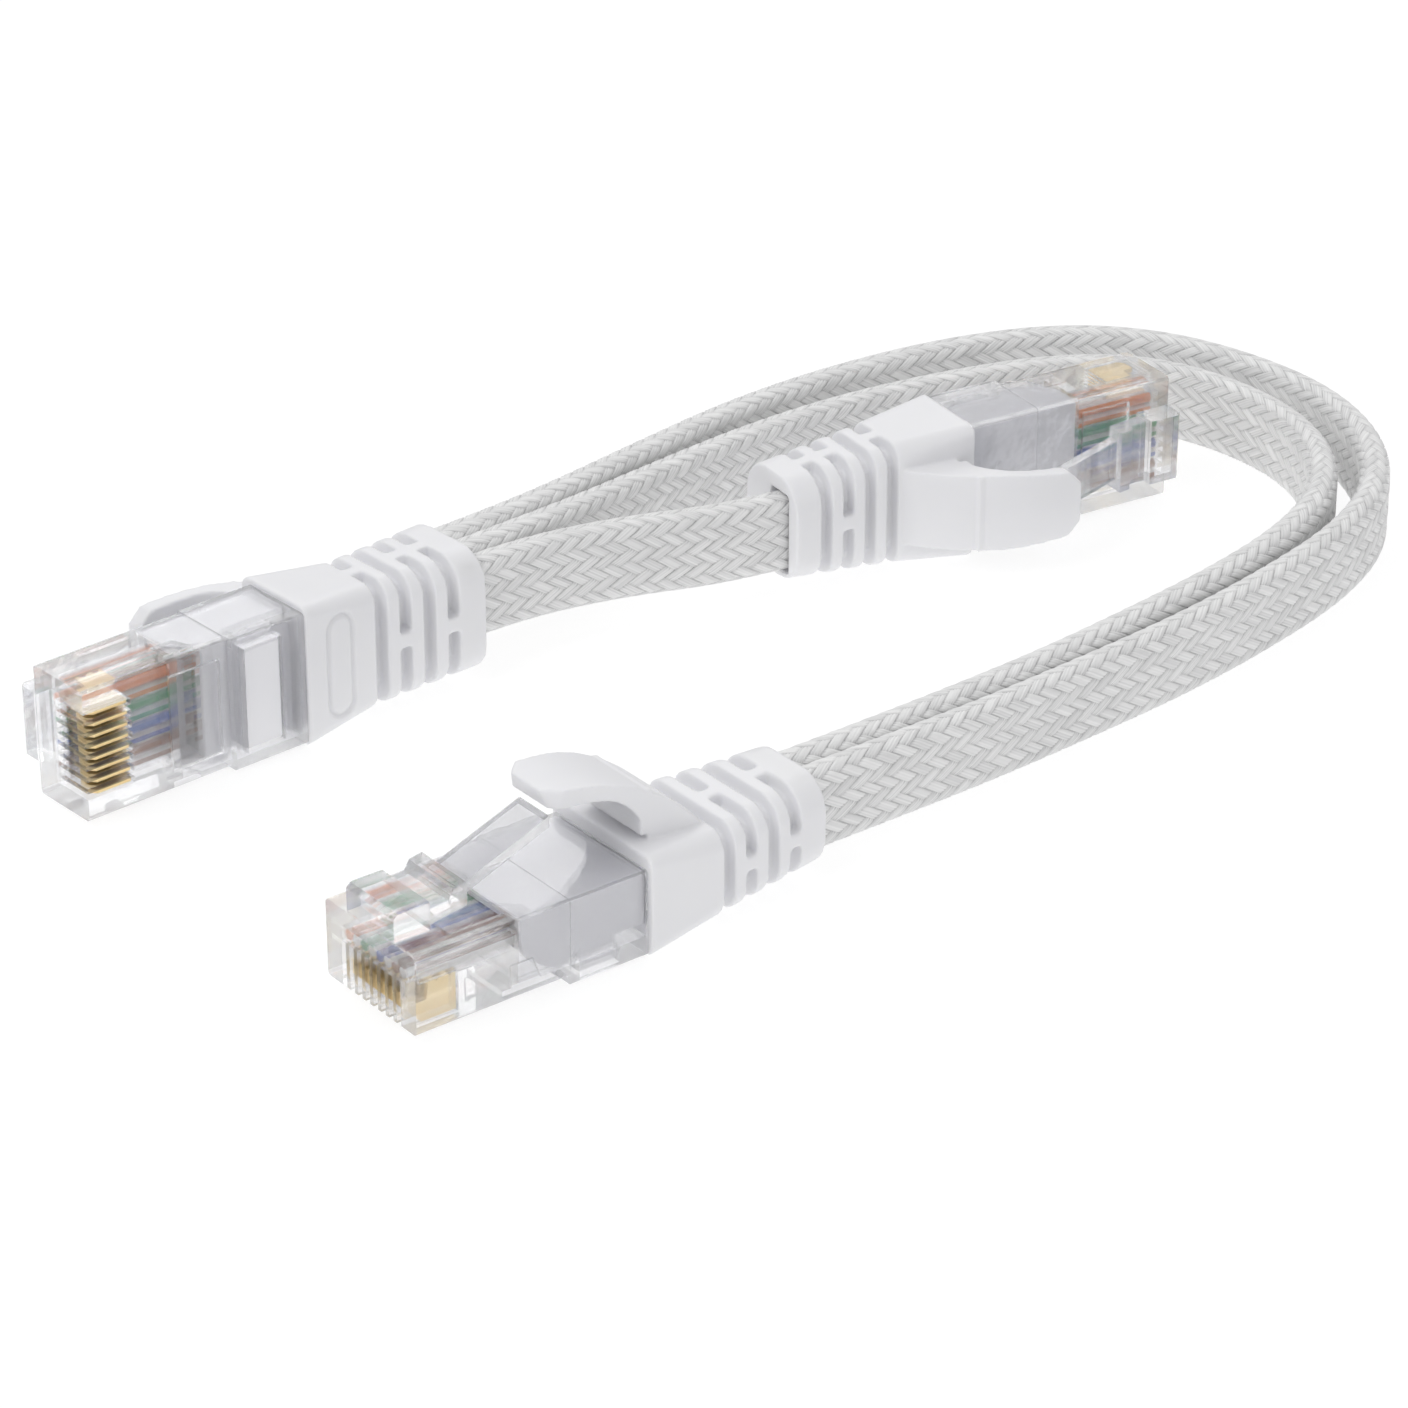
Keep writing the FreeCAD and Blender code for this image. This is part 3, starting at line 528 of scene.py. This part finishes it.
def press_pill(plug, points):
    """Press the outline of a pill into the contact side of the boot's smooth part."""
    local = plug.local(points)
    along = np.clip(np.abs(local[:, 1]) - PILL_HALF_LENGTH, 0, None)
    off = np.abs(np.hypot(local[:, 0] - PILL_CENTRE, along) - PILL_RADIUS)
    near = np.exp(-(off / PILL_GROOVE) ** 2) * (local[:, 2] < 0.3)
    return points + near[:, None] * PILL_DEPTH * MM * np.array(plug.z)


def make_boot(plug):
    """The moulded boot with its ribs and its guard arm, as one soft piece."""
    shape = bmesh.new()
    shape.from_mesh(NODES[plug.name + "_boot"].data)
    shape.from_mesh(NODES[plug.name + "_latch_guard"].data)
    box_into(shape, plug, *GUARD_BRIDGE)
    bmesh.ops.remove_doubles(shape, verts=shape.verts, dist=1e-7)
    bmesh.ops.recalc_face_normals(shape, faces=shape.faces)
    rough = bpy.data.meshes.new("rough_boot")
    shape.to_mesh(rough)
    shape.free()
    name = plug.name + "_soft_boot"
    mesh = remeshed(name, rough, BOOT_VOXEL, BOOT_SMOOTHING)
    points = np.empty(len(mesh.vertices) * 3, np.float32)
    mesh.vertices.foreach_get("co", points)
    points = press_pill(plug, points.reshape(-1, 3).astype(float))
    mesh.vertices.foreach_set("co", points.reshape(-1).astype(np.float32))
    mesh.polygons.foreach_set("use_smooth", np.ones(len(mesh.polygons), bool))
    mesh.update()
    boot = piece(name, mesh, SOFT_WHITE, body=None)
    start, end = (plug.at(*place) for place in GUARD_BEND)
    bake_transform(boot)
    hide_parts(plug.name + "_boot", plug.name + "_latch_guard")


# ---------------------------------------------------------------- finishes of the CAD nodes


def finish(node, material):
    for material_slot in NODES[node].material_slots:
        material_slot.material = material


def finish_plug(plug):
    for ending, material in (
            ("plug_shell", CLEAR), ("latch_lever", CLEAR), ("contacts", GOLD),
            ("wire_guide", FROSTED), ("inner_sleeve", WHITE_PLASTIC),
            ("cable_clamp", WHITE_PLASTIC), ("cable_core", CORE)):
        finish("%s_%s" % (plug.name, ending), material)
    for colour in WIRE_COLOURS:
        for striped in (False, True):
            name = ("white_" if striped else "") + colour
            node = "%s_wire_%s" % (plug.name, name)
            finish(node, insulation(name, striped, plug.z))


for plug in [Plug(name) for name in PLUGS]:
    make_boot(plug)
    finish_plug(plug)

# ---------------------------------------------------------------- floor and light


def make_floor():
    mesh = bpy.data.meshes.new("floor")
    reach = 3.0
    corners = [(-reach, -reach, 0), (reach, -reach, 0), (reach, reach, 0), (-reach, reach, 0)]
    mesh.from_pydata(corners, [], [(0, 1, 2, 3)])
    material, _, shader = new_material("white_table")
    shader.inputs["Base Color"].default_value = (0.22, 0.22, 0.22, 1)
    shader.inputs["Roughness"].default_value = 0.8
    shader.inputs["Specular IOR Level"].default_value = 0.0
    shader.inputs["Emission Color"].default_value = (1, 1, 1, 1)
    shader.inputs["Emission Strength"].default_value = 0.84
    mesh.materials.append(material)
    floor = bpy.data.objects.new("floor", mesh)
    bpy.context.scene.collection.objects.link(floor)


def make_light(name, place, width, power):
    data = bpy.data.lights.new(name, "AREA")
    data.shape = "RECTANGLE"
    data.size, data.size_y = width
    data.energy = power
    lamp = bpy.data.objects.new(name, data)
    lamp.location = place
    lamp.rotation_euler = (CAMERA_AIM - Vector(place)).to_track_quat("-Z", "Y").to_euler()
    bpy.context.scene.collection.objects.link(lamp)


def make_world():
    """A white studio that is greyer towards the horizon, so that clear edges show."""
    world = bpy.data.worlds.new("studio")
    bpy.context.scene.world = world
    world.use_nodes = True
    tree = world.node_tree
    place = add(tree, "ShaderNodeTexCoord")
    split = add(tree, "ShaderNodeSeparateXYZ")
    link(tree, place.outputs["Generated"], split.inputs["Vector"])
    ramp = add(tree, "ShaderNodeValToRGB")
    ramp.color_ramp.elements[0].position = 0.05
    ramp.color_ramp.elements[0].color = (0.42, 0.42, 0.45, 1)
    ramp.color_ramp.elements[1].position = 0.55
    ramp.color_ramp.elements[1].color = (1, 1, 1, 1)
    link(tree, split.outputs["Z"], ramp.inputs["Fac"])
    link(tree, ramp.outputs["Color"], tree.nodes["Background"].inputs["Color"])
    tree.nodes["Background"].inputs["Strength"].default_value = 0.70


make_floor()
make_world()
make_light("key", (-0.35, -0.25, 0.55), (0.35, 0.35), 1.3)
make_light("fill", (0.5, -0.35, 0.4), (0.5, 0.4), 0.35)
make_light("back", (0.05, 0.6, 0.45), (0.6, 0.3), 0.8)
scene = bpy.context.scene
scene.view_settings.view_transform = "Standard"
scene.cycles.transmission_bounces = 16
scene.cycles.transparent_max_bounces = 24
scene.cycles.max_bounces = 24
